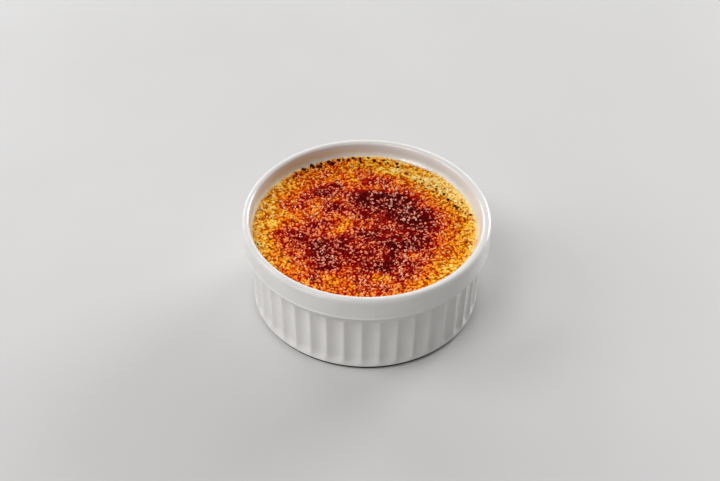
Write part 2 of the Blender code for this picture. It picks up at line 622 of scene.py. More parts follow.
def paint_crease_shade(points):
    """1 round the foot just above the floor, fading upwards, and 0 elsewhere."""
    radius, _ = polar(points)
    on_ring = (radius > RING_OUTER - 0.1 * MM) & (radius < WALL_FOOT_RADIUS - 0.2 * MM)
    height = points[:, 2]
    return on_ring * (height > 0.1 * MM) * np.clip((CREASE_SHADE_HEIGHT - height) / CREASE_SHADE_FADE, 0, 1)


def store(mesh, name, values):
    """Keeps a number for each point of a mesh, for its finish to read."""
    attribute = mesh.attributes.new(name, "FLOAT", "POINT")
    attribute.data.foreach_set("value", np.asarray(values, dtype=np.float32))


def read_number(tree, name):
    return add_node(tree, "ShaderNodeAttribute", {}, attribute_name=name).outputs["Fac"]


inner_shade_share = paint_inner_shade(read_points(dish_mesh))
crease_shade_share = paint_crease_shade(read_points(dish_mesh))
store(dish_mesh, "inner_shade", inner_shade_share)
store(dish_mesh, "crease_shade", crease_shade_share)
print("points with film:", np.count_nonzero(inner_shade_share), "with grime:", np.count_nonzero(crease_shade_share))


# %% Glaze
# painted light: a colour lighter than the glaze, for the shaded wall just above the crust
PAINTED_LIGHT = rgb(240, 248, 252)
PAINTED_LIGHT_FROM = CRUST_LEVEL + 0.3 * MM
PAINTED_LIGHT_TO = CRUST_LEVEL + 2.8 * MM
PAINTED_LIGHT_WAVE = 0.3 * MM


def painted_light_strip(tree, place, inner_shade):
    """1 on the shaded wall just above the crust, fading to 0 further up: where painted light goes."""
    height = add_node(tree, "ShaderNodeSeparateXYZ", {"Vector": place}).outputs["Z"]
    ragged = maths(tree, "ADD", height, wander(tree, place, 3 * MM, -PAINTED_LIGHT_WAVE, PAINTED_LIGHT_WAVE))
    low_down = stretch(tree, ragged, PAINTED_LIGHT_FROM, PAINTED_LIGHT_TO, 1, 0)
    return maths(tree, "MULTIPLY", low_down, stretch(tree, inner_shade, 0.05, 0.3, 0, 1))


def glaze_finish():
    material, tree, place = new_finish("clear_glaze")
    tones = [(0.3, rgb(220, 218, 215)), (0.7, rgb(227, 225, 223))]
    tone = colour_along(tree, mottle(tree, place, 14 * MM, 3), tones)
    # painted shade on the inner wall
    inner_shade = read_number(tree, "inner_shade")
    shaded_tone = colour_along(tree, inner_shade, [
        (0.0, rgb(224, 222, 219)),
        (0.3, rgb(200, 204, 207)),
        (0.6, rgb(208, 202, 186)),
        (1.0, rgb(210, 198, 166)),
    ])
    tone = blend(tree, stretch(tree, inner_shade, 0, 0.2, 0, 1), tone, shaded_tone)
    # painted light on the wall just above the crust
    tone = blend(tree, painted_light_strip(tree, place, inner_shade), tone, PAINTED_LIGHT)
    # painted shade in the foot's crease
    tone = blend(tree, read_number(tree, "crease_shade"), tone, FOOT_CREASE_SHADE)
    ripples = relief(tree, mottle(tree, place, 6 * MM, 1), 0.025 * MM)
    dress(tree, tone, wander(tree, place, 5 * MM, 0.09, 0.15, 3), ripples)
    return material


put_on(dish_mesh, glaze_finish())
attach(dish, "root")
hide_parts("ramekin")

# %% [markdown]
# ## Where the torch went
#
# A torch moves over the sugar in short passes, and each pass leaves a streak that is darkest along
# its middle. So the burn is built from passes too: a line between two places on the crust, a half
# width and a strength, all in millimetres as seen from above. A negative strength is a place that
# the torch skipped. Painting a texture would be the other way, but passes are easy to move, and
# they stay sharp at any size.

# %% Torch passes
TORCH_PASSES = [
    # from, to, half width, burn
    ((-1, 17), (11, 15), 5.3, 0.48), ((14, 12), (22, 6), 5.5, 0.34),
    ((15, 3), (22, -3), 4.5, 0.21), ((20, 11), (27, 12), 2.5, 0.08),
    ((18, -9), (24, -8), 3.8, 0.25), ((3, -3), (10, -9), 5.0, 0.17),
    ((13, -12), (8, -24), 4.6, 0.28), ((16, -21), (18, -21), 2.5, 0.24),
    ((-8, -7), (-21, -11), 3.5, 0.19), ((-15, -14), (-14, -23), 4.0, 0.26),
    ((-20, -12), (-19, -24), 3.5, 0.20), ((-8, -13), (-1, -19), 4.2, 0.20),
    ((-27, -7), (-33, -3), 3.0, 0.20), ((-20, 1), (-24, -5), 4.0, 0.10),
    ((-20, 21), (-16, 20), 2.8, 0.34), ((-14, 26), (-9, 26), 1.6, 0.22),
    ((-9, 21), (-5, 20), 2.2, 0.12), ((-16, 10), (-12, 12), 2.8, 0.35),
    ((-26, 14), (-24, 20), 2.5, 0.14), ((-20, 3), (-14, 1), 2.5, 0.12),
    ((4, 20), (14, 18), 3.0, 0.12), ((16, 21), (20, 17), 3.0, 0.14),
    ((-21, -30), (-18, -33), 1.8, 0.22), ((-1, -33), (9, -36), 3.0, 0.16),
    ((13, -31), (24, -20), 2.8, 0.12), ((-8, -38), (3, -38), 2.0, 0.18),
    ((-20, 31), (-16, 33), 2.0, 0.16), ((-28, 33), (-15, 40), 2.4, 0.10),
    ((-13, 41), (-2, 42), 1.8, 0.06), ((3, 41), (14, 38), 1.3, 0.06),
    ((37, 7), (36, -14), 4.5, 0.08), ((-1, 18), (10, 19), 3.5, 0.22),
    ((22, 37), (26, 34), 3.0, 0.08), ((-8, 35), (6, 34), 3.0, 0.08),
    ((-18, 24), (-12, 25), 3.5, 0.10), ((-5, 8), (0, 7), 4.5, 0.11),
    ((18, 5), (31, 8), 4.5, 0.14), ((-6, -23), (7, -24), 3.2, 0.20),
    ((16, -29), (24, -28), 3.0, 0.06), ((10, 6), (18, 6), 3.0, 0.10),
    ((-5, 0), (1, -6), 3.0, 0.10), ((17, -12), (24, -12), 2.5, 0.14),
    ((-31, 12), (-28, 13), 2.5, 0.10), ((4, -12), (8, -11), 2.5, 0.14),
    ((-36, -5), (-32, -12), 3.0, 0.08), ((5, -24), (8, -24), 2.0, 0.20),
    ((-2, -5), (2, -6), 2.2, 0.15), ((1, 19), (7, 18), 2.5, 0.08),
    ((-18, -17), (-11, -19), 2.5, 0.08), ((-7, -12), (-5, -12), 2.0, 0.08),
    ((-19, 24), (-12, 24), 2.0, 0.10), ((-14, -24), (-11, -24), 2.2, 0.10),
    ((11, 12), (14, 12), 2.0, 0.10), ((24, 0), (31, 0), 3.0, 0.12),
    ((-1, 6), (1, 6), 2.0, 0.10), ((11, -30), (14, -31), 2.0, 0.08),
    ((-25, -13), (-25, -24), 2.5, 0.06), ((2, 30), (7, 29), 2.5, 0.18),
]
SKIPPED = [
    # from, to, half width, burn
    ((-7, 4), (-12, -3), 3.2, -0.26), ((-22, 14), (-19, 7), 3.0, -0.26),
    ((-13, 9), (-14, 4), 2.5, -0.16), ((-19, 17), (-13, 17), 1.8, -0.20),
    ((-10, 13), (-5, 12), 1.8, -0.10), ((-13, 21), (-12, 23), 1.6, -0.07),
    ((16, -14), (18, -18), 2.2, -0.12), ((-8, -25), (-4, -24), 2.2, -0.20),
    ((-16, -32), (-12, -31), 2.2, -0.16), ((4, -27), (8, -29), 1.8, -0.10),
    ((-7, 39), (-6, 30), 2.0, -0.12), ((6, 37), (20, 33), 3.2, -0.22),
    ((22, 30), (30, 25), 3.5, -0.22), ((34, 22), (37, 16), 3.0, -0.12),
    ((-40, 17), (-41, 9), 4.0, -0.17), ((-40, 1), (-41, -12), 4.0, -0.17),
    ((-33, 6), (-28, 6), 3.5, -0.23), ((-24, -13), (-23, -5), 3.0, -0.05),
    ((-36, -17), (-30, -24), 3.0, -0.07), ((-35, 24), (-31, 25), 4.0, -0.12),
    ((-18, 30), (-6, 30), 3.0, -0.14), ((5, -30), (7, -30), 3.0, -0.20),
    ((-8, 24), (12, 24), 2.2, -0.14), ((-1, 0), (1, 0), 2.0, -0.10),
    ((23, 13), (25, 12), 2.0, -0.08), ((35, 18), (37, 18), 2.5, -0.08),
    ((-37, 1), (-35, -1), 2.5, -0.12), ((25, 30), (30, 28), 2.5, -0.07),
    ((28, -30), (31, -24), 3.0, -0.10), ((-5, 39), (2, 41), 2.8, -0.12),
]
MIDDLE_BURN = 0.56
MIDDLE_X = -1.5
FADE_STARTS = 22
FADE_ENDS = 44
EDGE_FADE = 0.24
RIGHT_FADE = 0.22
RIGHT_REACH = 40


def smooth_step(low, high, value):
    share = np.clip((value - low) / (high - low), 0, 1)
    return share * share * (3 - 2 * share)


def torch_burn(x, y):
    """How burnt the sugar is, from 0, just melted, to 1, black, at places in millimetres."""
    distance = np.hypot(x - MIDDLE_X, y)
    to_the_right = np.clip((0.8 * x + 0.25 * y) / RIGHT_REACH, 0, 1)
    fade = EDGE_FADE + RIGHT_FADE * to_the_right
    burn = MIDDLE_BURN - fade * smooth_step(FADE_STARTS, FADE_ENDS, distance)
    for (x1, y1), (x2, y2), width, strength in TORCH_PASSES + SKIPPED:
        run_x, run_y = x2 - x1, y2 - y1
        share = ((x - x1) * run_x + (y - y1) * run_y) / (run_x**2 + run_y**2)
        share = np.clip(share, 0, 1)
        off_x, off_y = x - x1 - share * run_x, y - y1 - share * run_y
        burn = burn + strength * np.exp(-(off_x**2 + off_y**2) / width**2)
    return burn


print(len(TORCH_PASSES), "passes and", len(SKIPPED), "skipped places")

# %% [markdown]
# ## The crust's mesh
#
# The crust is a disc of small triangles, about as fine as a third of a sugar grain. Rings of six,
# twelve, eighteen points and so on keep the triangles alike from the middle to the wall, which a
# plain polar grid would not. The disc reaches a little way into the porcelain, so that no gap can
# open between the two. Below it the custard's side goes down just inside the dish, out of sight.

# %% Crust disc
CRUST_SPACING = 0.26 * MM
WALL_OVERLAP = 0.15 * MM
CRUST_RADIUS = bore_radius(CRUST_LEVEL) + WALL_OVERLAP
CRUST_MIDDLE = np.array([-bore_shift(CRUST_LEVEL), 0])
RINGS = round(CRUST_RADIUS / CRUST_SPACING)


def ring_start(ring):
    """Number of the first point of a ring; ring 0 is the middle point."""
    return 1 + 3 * ring * (ring - 1) if ring else 0


def disc_points():
    points = [(0.0, 0.0)]
    for ring in range(1, RINGS + 1):
        angles = np.arange(6 * ring) * TAU / (6 * ring)
        radius = CRUST_RADIUS * ring / RINGS
        points += zip(radius * np.cos(angles), radius * np.sin(angles))
    return np.array(points)


def disc_faces():
    faces = []
    for ring in range(1, RINGS + 1):
        outer, outer_count = ring_start(ring), 6 * ring
        inner, inner_count = ring_start(ring - 1), max(6 * (ring - 1), 1)
        for sector in range(6):
            for step in range(ring):
                here = outer + sector * ring + step
                after = outer + (sector * ring + step + 1) % outer_count
                below = inner + (sector * (ring - 1) + step) % inner_count
                faces.append((here, after, below))
                if step < ring - 1:
                    below_after = inner + (sector * (ring - 1) + step + 1) % inner_count
                    faces.append((below, after, below_after))
    return faces


crust_place = disc_points()
print(RINGS, "rings,", len(crust_place), "points")

# %% [markdown]
# ## Relief of the burnt sugar
#
# Sugar grains melt from the outside in. Where the flame was short they are still separate beads
# under a skin of syrup; where it was long they have boiled and set again as a rough foam. Three
# layers make that: slow lumps, small lumps, and the beads themselves, which are Voronoi cells with
# a dome on each and a crevice between. The burn decides how strong the beads stand out, and at the
# wall the syrup climbs a little way up the porcelain.
#
# Noise fills space, and a seed is the height at which a layer of it is sliced, so layers with
# different seeds never repeat each other.

# %% Layers of noise
DOME_REACH = 0.75
CREVICE_WIDTH = 0.35


def lumps(size, seed):
    """Smooth noise, about -1 to 1, at each point of the crust, in lumps of the given size."""
    return np.array([noise.noise((x / size, y / size, seed)) for x, y in crust_place])


def sway(size, seed, other_seed):
    """A sideways shift for each point of the crust, about -1 to 1 along x and along y."""
    return np.stack([lumps(size, seed), lumps(size, other_seed)], 1)


def beads(place, size, seed):
    """For each place: how high it is on its bead, 0 to 1, and a number that belongs to the bead."""
    height = np.empty(len(place))
    tag = np.empty(len(place))
    for index, (x, y) in enumerate(place):
        distances, centres = noise.voronoi((x / size, y / size, seed))
        dome = 1 - min(distances[0] / DOME_REACH, 1) ** 2
        crevice = min((distances[1] - distances[0]) / CREVICE_WIDTH, 1)
        height[index] = dome * (0.35 + 0.65 * crevice)
        centre = centres[0]
        # large odd factors scramble the centre's place into a number with no order in it
        tag[index] = math.sin(centre.x * 12.99 + centre.y * 78.23 + centre.z * 37.7) * 43758.5 % 1
    return height, tag


# %% Burn at each point of the crust
WARP = 1.3 * MM
WARP_SIZE = 4 * MM
PATCHES = 0.12
MOST_BURN = 0.97
WALL_FADE = 0.10
WALL_FADE_WIDTH = 4.5 * MM


def to_wall():
    """How far each point of the crust is from the dish's wall."""
    return CRUST_RADIUS - np.hypot(*crust_place.T)


def crust_burns():
    warped = crust_place + CRUST_MIDDLE + WARP * sway(WARP_SIZE, 3.1, 7.7)
    patchy = PATCHES * lumps(3.2 * MM, 11.5) + PATCHES * lumps(1.6 * MM, 15.2)
    burn = torch_burn(*(warped.T / MM)) + patchy
    fade = WALL_FADE * (1 - smooth_step(0, WALL_FADE_WIDTH, to_wall()))
    return np.clip(burn - fade, 0, MOST_BURN)


crust_burn = crust_burns()
print("burn from", round(crust_burn.min(), 2), "to", round(crust_burn.max(), 2))

# %% Depth of the syrup at each point
BEAD_SIZE = 1.3 * MM
BEAD_WARP = 0.6 * MM
FINE_WARP = 0.2 * MM
BARE_WIDTH = 0.85 * MM


def ranks(values):
    """Swaps each value for its place in the order of them all, from 0 to 1."""
    order = np.empty(len(values))
    order[np.argsort(values)] = np.linspace(0, 1, len(values))
    return order


def custard_and_edge_highlight():
    """Share of pale custard that shows, which is also a painted highlight along the wet edge: it is 1
    where the sugar stops short of the wall.
    """
    ragged = 0.75 + 1.1 * lumps(1.1 * MM, 51.7)
    return np.clip(ragged * np.exp(-((to_wall() / BARE_WIDTH) ** 2)), 0, 1)


def bead_warp():
    """Shifts the crust's points, in wide sweeps and in fine ones, so that no bead is round."""
    return BEAD_WARP * sway(1.3 * MM, 61.3, 67.9) + FINE_WARP * sway(0.5 * MM, 71.9, 77.1)


bead_height, bead_tag = beads(crust_place + bead_warp(), BEAD_SIZE, 0.37)
bead_thinness = bead_height * (0.25 + 0.9 * bead_tag) + 0.08 * lumps(0.9 * MM, 33.3)
syrup_depth_and_shade = 1 - ranks(bead_thinness)
print("beads:", len(np.unique(bead_tag)))

# %% Crust height
SLOW_LUMPS = 0.30 * MM
SMALL_LUMPS = 0.24 * MM
BEAD_RELIEF = 0.46 * MM
DIP = 0.3 * MM
MENISCUS = 0.5 * MM
MENISCUS_WIDTH = 0.6 * MM


def crust_heights():
    from_middle = np.hypot(*crust_place.T) / CRUST_RADIUS
    roughness = 0.4 + 0.6 * smooth_step(0.1, 0.5, crust_burn)
    height = CRUST_LEVEL - DIP * (1 - from_middle**2)
    height = height + SLOW_LUMPS * lumps(7 * MM, 21.3)
    height = height + SMALL_LUMPS * lumps(2.2 * MM, 29.9) * roughness
    height = height + BEAD_RELIEF * (bead_height - 0.5) * roughness * (0.5 + bead_tag)
    climb = 0.6 + 0.8 * lumps(1.6 * MM, 41.0)
    return height + MENISCUS * climb * np.exp(-to_wall() / MENISCUS_WIDTH)


crust_height = crust_heights()
print("crust from", round(crust_height.min() / MM, 2), "to", round(crust_height.max() / MM, 2), "mm")

# %% Crust and custard in one closed mesh
SIDE_STEPS = 4
SIDE_TOP = CRUST_LEVEL - 1 * MM
SIDE_FOOT = custard_low[2] + 0.5 * MM
SIDE_CLEARANCE = 0.3 * MM


def custard_mesh():
    outer = crust_place[ring_start(RINGS):]
    around = len(outer)
    levels = np.linspace(SIDE_TOP, SIDE_FOOT, SIDE_STEPS)
    shrinks = (bore_radius(levels) - SIDE_CLEARANCE) / CRUST_RADIUS
    side = [
        np.column_stack([outer * shrink, np.full(around, level)])
        for shrink, level in zip(shrinks, levels)
    ]
    top = np.column_stack([crust_place, crust_height])
    points = np.concatenate([top, *side, [(0, 0, levels[-1])]])
    points[:, 0] -= bore_shift(points[:, 2])
    starts = [ring_start(RINGS)] + [len(top) + around * step for step in range(SIDE_STEPS)]
    faces = disc_faces() + bridge(starts, around) + flip(cap(len(points) - 1, starts[-1], around))
    return new_mesh("custard_with_crust", points, faces)


def store_on_crust(name, values, elsewhere):
    """Keeps a number for each point of the crust, and one for all the points below it."""
    padded = np.full(len(crust_mesh.vertices), elsewhere)
    padded[:len(values)] = values
    store(crust_mesh, name, padded)


crust_mesh = custard_mesh()
store_on_crust("burn", crust_burn, 0.0)
store_on_crust("syrup_depth_and_shade", syrup_depth_and_shade, 0.5)
store_on_crust("custard_and_edge_highlight", custard_and_edge_highlight(), 1.0)
crust = show_piece("custard_with_crust", crust_mesh)
print("crust and custard:", triangles_in(crust_mesh), "triangles")

# %% [markdown]
# ## Burnt sugar
#
# The colour of sugar depends on how far it has been burnt: straw, gold, orange, red-brown, then a
# maroon that is almost black. It also depends on how deep the syrup lies. On top of a bead it is a
# thin bright skin, and in the crevices it is dark, as in any tinted glass. One ramp along the burn
# can't say both, so there are three, for thin, usual and deep syrup, and the depth blends them. This
# is real colour and painted light at once: the pale bead tops are also painted highlights, standing
# in for the glints of a crust whose own gloss is set almost to nothing, and the dark crevices are
# also painted shade.
#
# Well burnt sugar has also boiled, which heaps it up and thins it out: its bead tops stay pale pink,
# its crevices go maroon, and little is left between; the pale pink is partly painted highlight and
# the maroon partly painted shade. So beyond a certain burn the depth is spread about a steady value,
# and made deeper on the whole.

# %% Burnt sugar finish
# thin syrup is also a painted highlight, and deep syrup also painted shade
SYRUP_COLOURS = [
    # burn, thin syrup, usual syrup, deep syrup
    (0.00, (255, 238, 160), (255, 206, 104), (224, 150, 64)),
    (0.15, (255, 222, 104), (255, 174, 20), (192, 94, 6)),
    (0.30, (255, 198, 84), (250, 143, 10), (176, 54, 3)),
    (0.45, (255, 172, 86), (240, 94, 9), (158, 15, 3)),
    (0.62, (255, 150, 98), (194, 32, 11), (133, 3, 2)),
    (0.80, (250, 142, 110), (156, 10, 9), (101, 1, 1)),
    (1.00, (246, 144, 118), (112, 5, 5), (74, 0, 0)),
]
THIN_SYRUP_AND_HIGHLIGHT, USUAL_SYRUP, DEEP_SYRUP_AND_SHADE = [
    [(row[0], rgb(*row[column])) for row in SYRUP_COLOURS] for column in (1, 2, 3)
]
# pale custard colour, also a painted highlight along the wet edge at the wall
CUSTARD_AND_EDGE_HIGHLIGHT = rgb(255, 228, 160)
BOILS_AT = 0.45
DEEPER_WHERE_BURNT = 0.43
UNEVEN_WHERE_BURNT = 5.0
STEADY_DEPTH = 0.25
THIN_TO_USUAL = (0.04, 0.14)
USUAL_TO_DEEP = (0.42, 0.54)


def uneven(tree, value, place, size, amount):
    """Adds noise, from minus to plus an amount, to make a value less regular."""
    wobble = stretch(tree, mottle(tree, place, size), 0.25, 0.75, -amount, amount)
    return maths(tree, "ADD", value, wobble)


def burnt_syrup_depth(tree, place, burn):
    """How deep the syrup lies, which also sets painted highlight and shade, spread out and made deeper
    where the sugar has boiled.
    """
    depth = uneven(tree, read_number(tree, "syrup_depth_and_shade"), place, 0.5 * MM, 0.05)
    depth = uneven(tree, depth, place, 2.4 * MM, 0.09)
    beyond = maths(tree, "SUBTRACT", burn, BOILS_AT)
    well_burnt = maths(tree, "MAXIMUM", beyond, 0)
    spread = maths(tree, "ADD", maths(tree, "MULTIPLY", well_burnt, UNEVEN_WHERE_BURNT), 1)
    beyond_steady = maths(tree, "SUBTRACT", depth, STEADY_DEPTH)
    depth = maths(tree, "ADD", maths(tree, "MULTIPLY", beyond_steady, spread), STEADY_DEPTH)
    return maths(tree, "ADD", depth, maths(tree, "MULTIPLY", beyond, DEEPER_WHERE_BURNT))


def burnt_sugar_finish():
    material, tree, place = new_finish("torched_sugar")
    burn = uneven(tree, read_number(tree, "burn"), place, 0.8 * MM, 0.06)
    depth = burnt_syrup_depth(tree, place, burn)
    ramps = (THIN_SYRUP_AND_HIGHLIGHT, USUAL_SYRUP, DEEP_SYRUP_AND_SHADE)
    thin, usual, deep = [colour_along(tree, burn, stops) for stops in ramps]
    # pale thin syrup on bead tops is partly painted highlight; dark deep syrup in crevices partly
    # painted shade
    colour = blend(tree, stretch(tree, depth, *THIN_TO_USUAL, 0, 1), thin, usual)
    colour = blend(tree, stretch(tree, depth, *USUAL_TO_DEEP, 0, 1), colour, deep)
    # pale custard at the wall, partly a painted highlight of the wet edge
    colour = blend(tree, read_number(tree, "custard_and_edge_highlight"), colour, CUSTARD_AND_EDGE_HIGHLIGHT)
    pits = relief(tree, mottle(tree, place, 0.6 * MM, 1), 0.03 * MM)
    dress(tree, colour, wander(tree, place, 0.8 * MM, 0.06, 0.14), pits, gloss=0.01)
    return material


put_on(crust_mesh, burnt_sugar_finish())
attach(crust, "root")
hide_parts("custard")

# %% [markdown]
# ## Loose grains
#
# On top of the crust lie the grains that the flame only touched: they are still crystals, tinted
# by the syrup round them, and they give the crust its sparkle. The lighter grains are also painted
# paler, as painted glints, because most of them barely mirror at all. Each one is a small
# icosahedron, stretched, jittered and turned at random, with its facets left flat, because a flat
# facet throws the light as a spark. All of them are joined into one mesh.

# %% Grain helpers
GRAIN_JITTER = (0.82, 1.18)
GRAIN_SHAPES = ((1.0, 0.5, 0.5), (1.8, 0.8, 0.8))
GRAIN_TURNS = ((-0.7, -0.9, 0), (0.7, 0.9, TAU))


def ball(subdivisions):
    """The corners and faces of an icosphere of radius 1."""
    shape = bmesh.new()
    bmesh.ops.create_icosphere(shape, subdivisions=subdivisions, radius=1)
    corners = np.array([vertex.co for vertex in shape.verts])
    faces = np.array([[vertex.index for vertex in face.verts] for face in shape.faces])
    shape.free()
    return corners, faces


def nearest_crust_point(x, y):
    """Number of the crust's point nearest to a place."""
    x, y = x - CRUST_MIDDLE[0], y - CRUST_MIDDLE[1]
    ring = min(round(math.hypot(x, y) / CRUST_RADIUS * RINGS), RINGS)
    if ring == 0:
        return 0
    step = round(math.atan2(y, x) / TAU * 6 * ring) % (6 * ring)
    return ring_start(ring) + step


def join_shapes(name, shapes, faces, numbers):
    """Joins copies of one shape into a mesh, with named numbers that each copy keeps."""
    all_faces = np.concatenate([faces + number * len(shapes[0]) for number in range(len(shapes))])
    mesh = new_mesh(name, np.concatenate(shapes), all_faces.tolist(), smooth=False)
    for label, values in numbers.items():
        store(mesh, label, np.repeat(values, len(shapes[0])))
    return show_piece(name, mesh)


def scatter(name, grains, sink, seed):
    """Lays grains, given as (x, y, size, burn, light), on the crust, each turned at random."""
    chance = np.random.default_rng(seed)
    corners, faces = ball(1)
    surface = read_points(crust_mesh)
    shapes = []
    for x, y, size, _, _ in grains:
        shape = corners * chance.uniform(*GRAIN_JITTER, (len(corners), 1))
        shape = shape * size / 2 * chance.uniform(*GRAIN_SHAPES)
        turn = Euler(chance.uniform(*GRAIN_TURNS)).to_matrix()
        seat = surface[nearest_crust_point(x, y)] + (0, 0, size * (0.5 - sink))
        shapes.append(shape @ np.array(turn).T + seat)
    burns, lights = zip(*[grain[3:] for grain in grains])
    return join_shapes(name, shapes, faces, {"burn": burns, "light": lights})


# %% Choose the grains
GRAIN_COUNT = 3200
GRAIN_SIZES = (0.5 * MM, 0.8 * MM)
GROWTH_WITH_LIGHT = 0.4 * MM
GRAIN_EDGE = 0.6 * MM


def burn_at(x, y):
    return crust_burn[nearest_crust_point(x, y)]


def place_on_crust(chance, edge):
    """A random place on the crust, at least an edge's width from the wall."""
    angle = chance.uniform(0, TAU)
    radius = (CRUST_RADIUS - edge) * math.sqrt(chance.random())
    return radius * math.cos(angle) + CRUST_MIDDLE[0], radius * math.sin(angle)


def place_grains():
    """Grains all over the crust, closer together where it is burnt; most of them are dull."""
    chance = random.Random(12)
    grains = []
    while len(grains) < GRAIN_COUNT:
        x, y = place_on_crust(chance, GRAIN_EDGE)
        burn = burn_at(x, y)
        wanted = 0.3 + 0.7 * smooth_step(0.2, 0.6, burn) - 0.4 * smooth_step(0.6, 0.85, burn)
        if chance.random() < wanted:
            light = 0.95 * chance.random() ** (1.2 + 2.4 * smooth_step(0.55, 0.85, burn))
            size = chance.uniform(*GRAIN_SIZES) + GROWTH_WITH_LIGHT * light
            grains.append((x, y, size, burn, light))
    return grains


grains = scatter("sugar_grains", place_grains(), sink=0.34, seed=5)
print("grains:", triangles_in(grains.data), "triangles")

# %% [markdown]
# Some crystals stayed whole and catch the light together, in short crooked trails; they mirror
# strongly, and their pale colour is a painted highlight besides. They are listed as trails, from one
# place to another with a count, because their places matter: they are what the eye finds first on
# the dark sugar.

# %% Bright crystals
TRAILS = [
    # from, to, crystals, size
    ((12.3, 25.2), (12.4, 23.2), 3, 1.3), ((12.2, 21.8), (10.7, 19.6), 4, 1.2),
    ((10.8, 18.0), (9.7, 16.2), 4, 1.3), ((10.8, 15.3), (9.5, 11.6), 4, 1.3),
    ((2.3, 17.6), (2.6, 16.0), 2, 1.1), ((2.4, 11.7), (2.4, 11.2), 2, 1.4),
    ((4.8, 21.0), (6.8, 21.8), 2, 1.1), ((6.8, 25.8), (7.4, 24.8), 2, 1.0),
    ((18.0, 15.8), (16.8, 13.7), 4, 1.2), ((16.9, 13.0), (17.8, 11.8), 3, 1.2),
    ((15.2, 11.8), (16.4, 9.2), 3, 1.2), ((24.8, 12.0), (24.7, 9.8), 3, 1.1),
    ((15.0, 5.8), (15.4, 4.3), 3, 1.3), ((17.0, 6.4), (17.4, 4.2), 3, 1.2),
    ((19.3, 6.8), (19.8, 5.2), 3, 1.5), ((14.8, 17.8), (15.2, 19.8), 2, 1.1),
    ((21.2, 17.2), (23.4, 18.8), 2, 1.1), ((20.0, 1.0), (21.0, -3.0), 3, 1.1),
    ((26.9, 2.4), (28.0, 1.0), 3, 1.2), ((12.4, -3.6), (12.8, -5.2), 2, 1.2),
    ((19.6, -5.8), (19.8, -7.4), 2, 1.1), ((15.6, -12.8), (15.4, -14.4), 2, 1.2),
    ((19.0, -12.6), (19.4, -14.0), 2, 1.2), ((15.2, -16.4), (16.0, -18.6), 5, 1.4),
    ((15.4, -19.2), (14.8, -20.6), 2, 1.2), ((11.6, -21.2), (11.2, -22.4), 2, 1.2),
    ((13.0, -23.4), (13.2, -26.4), 4, 1.2), ((13.6, -27.2), (14.8, -28.8), 2, 1.0),
    ((19.3, -28.2), (19.3, -31.2), 4, 1.2), ((22.6, -18.2), (22.8, -19.8), 2, 1.2),
    ((6.4, -29.6), (6.9, -31.6), 3, 1.0), ((5.9, -32.6), (6.2, -36.0), 4, 1.1),
    ((9.7, -29.4), (9.6, -30.6), 2, 1.0), ((2.8, -35.2), (2.6, -36.8), 2, 1.1),
    ((-2.0, -31.4), (-2.4, -35.8), 5, 1.1), ((-17.1, -13.2), (-18.0, -16.6), 5, 1.2),
    ((-16.7, -18.4), (-17.0, -21.8), 4, 1.2), ((-13.2, -18.0), (-12.2, -20.4), 3, 1.0),
    ((-26.2, -5.4), (-25.9, -7.4), 3, 1.2), ((-27.6, -9.0), (-27.0, -10.4), 2, 1.1),
    ((-13.4, 19.8), (-12.2, 22.2), 4, 1.2), ((-18.4, 28.2), (-17.6, 26.2), 3, 1.1),
    ((-22.8, 16.0), (-22.4, 15.2), 2, 1.2), ((-21.8, 13.2), (-22.2, 10.2), 4, 1.1),
    ((-21.4, 17.6), (-21.2, 16.8), 2, 1.0), ((-37.2, 24.8), (-35.4, 21.6), 4, 1.0),
    ((-39.0, 19.4), (-37.8, 17.4), 4, 1.1), ((-41.4, 14.4), (-41.0, 13.0), 2, 1.1),
    ((-43.0, 11.6), (-41.8, 9.4), 3, 1.1), ((-38.4, 7.6), (-37.4, 4.8), 3, 1.0),
    ((-44.0, 4.6), (-43.4, 2.2), 3, 1.0), ((-43.8, -0.6), (-44.2, -5.2), 6, 1.1),
    ((-41.6, -5.6), (-41.8, -7.4), 2, 1.1), ((-43.0, -8.4), (-43.4, -13.0), 4, 1.0),
    ((-6.6, 41.0), (-6.4, 37.8), 4, 0.9), ((-28.8, 31.6), (-29.6, 30.2), 3, 1.0),
]
TRAIL_WANDER = 0.25 * MM
CRYSTALS_CLOSER = 1.25
CRYSTAL_WIDTHS = (0.5, 0.9)


def place_bright_crystals():
    chance = random.Random(8)
    crystals = []
    for start, end, count, size in TRAILS:
        count = round(CRYSTALS_CLOSER * count)
        for number in range(count):
            share = (number + 0.5) / count
            x = (start[0] + (end[0] - start[0]) * share) * MM + chance.gauss(0, TRAIL_WANDER)
            y = (start[1] + (end[1] - start[1]) * share) * MM + chance.gauss(0, TRAIL_WANDER)
            width = size * MM * chance.uniform(*CRYSTAL_WIDTHS)
            crystals.append((x, y, width, burn_at(x, y), chance.uniform(0.85, 1)))
    return crystals


crystals = scatter("bright_crystals", place_bright_crystals(), sink=0.35, seed=6)
print("bright crystals:", triangles_in(crystals.data), "triangles")

# %% Grain finish
# pale sugar colour, also a painted glint on the lightest grains
CLEAN_SUGAR_AND_GLINT = [(0.1, rgb(255, 244, 186)), (0.7, rgb(255, 218, 192))]


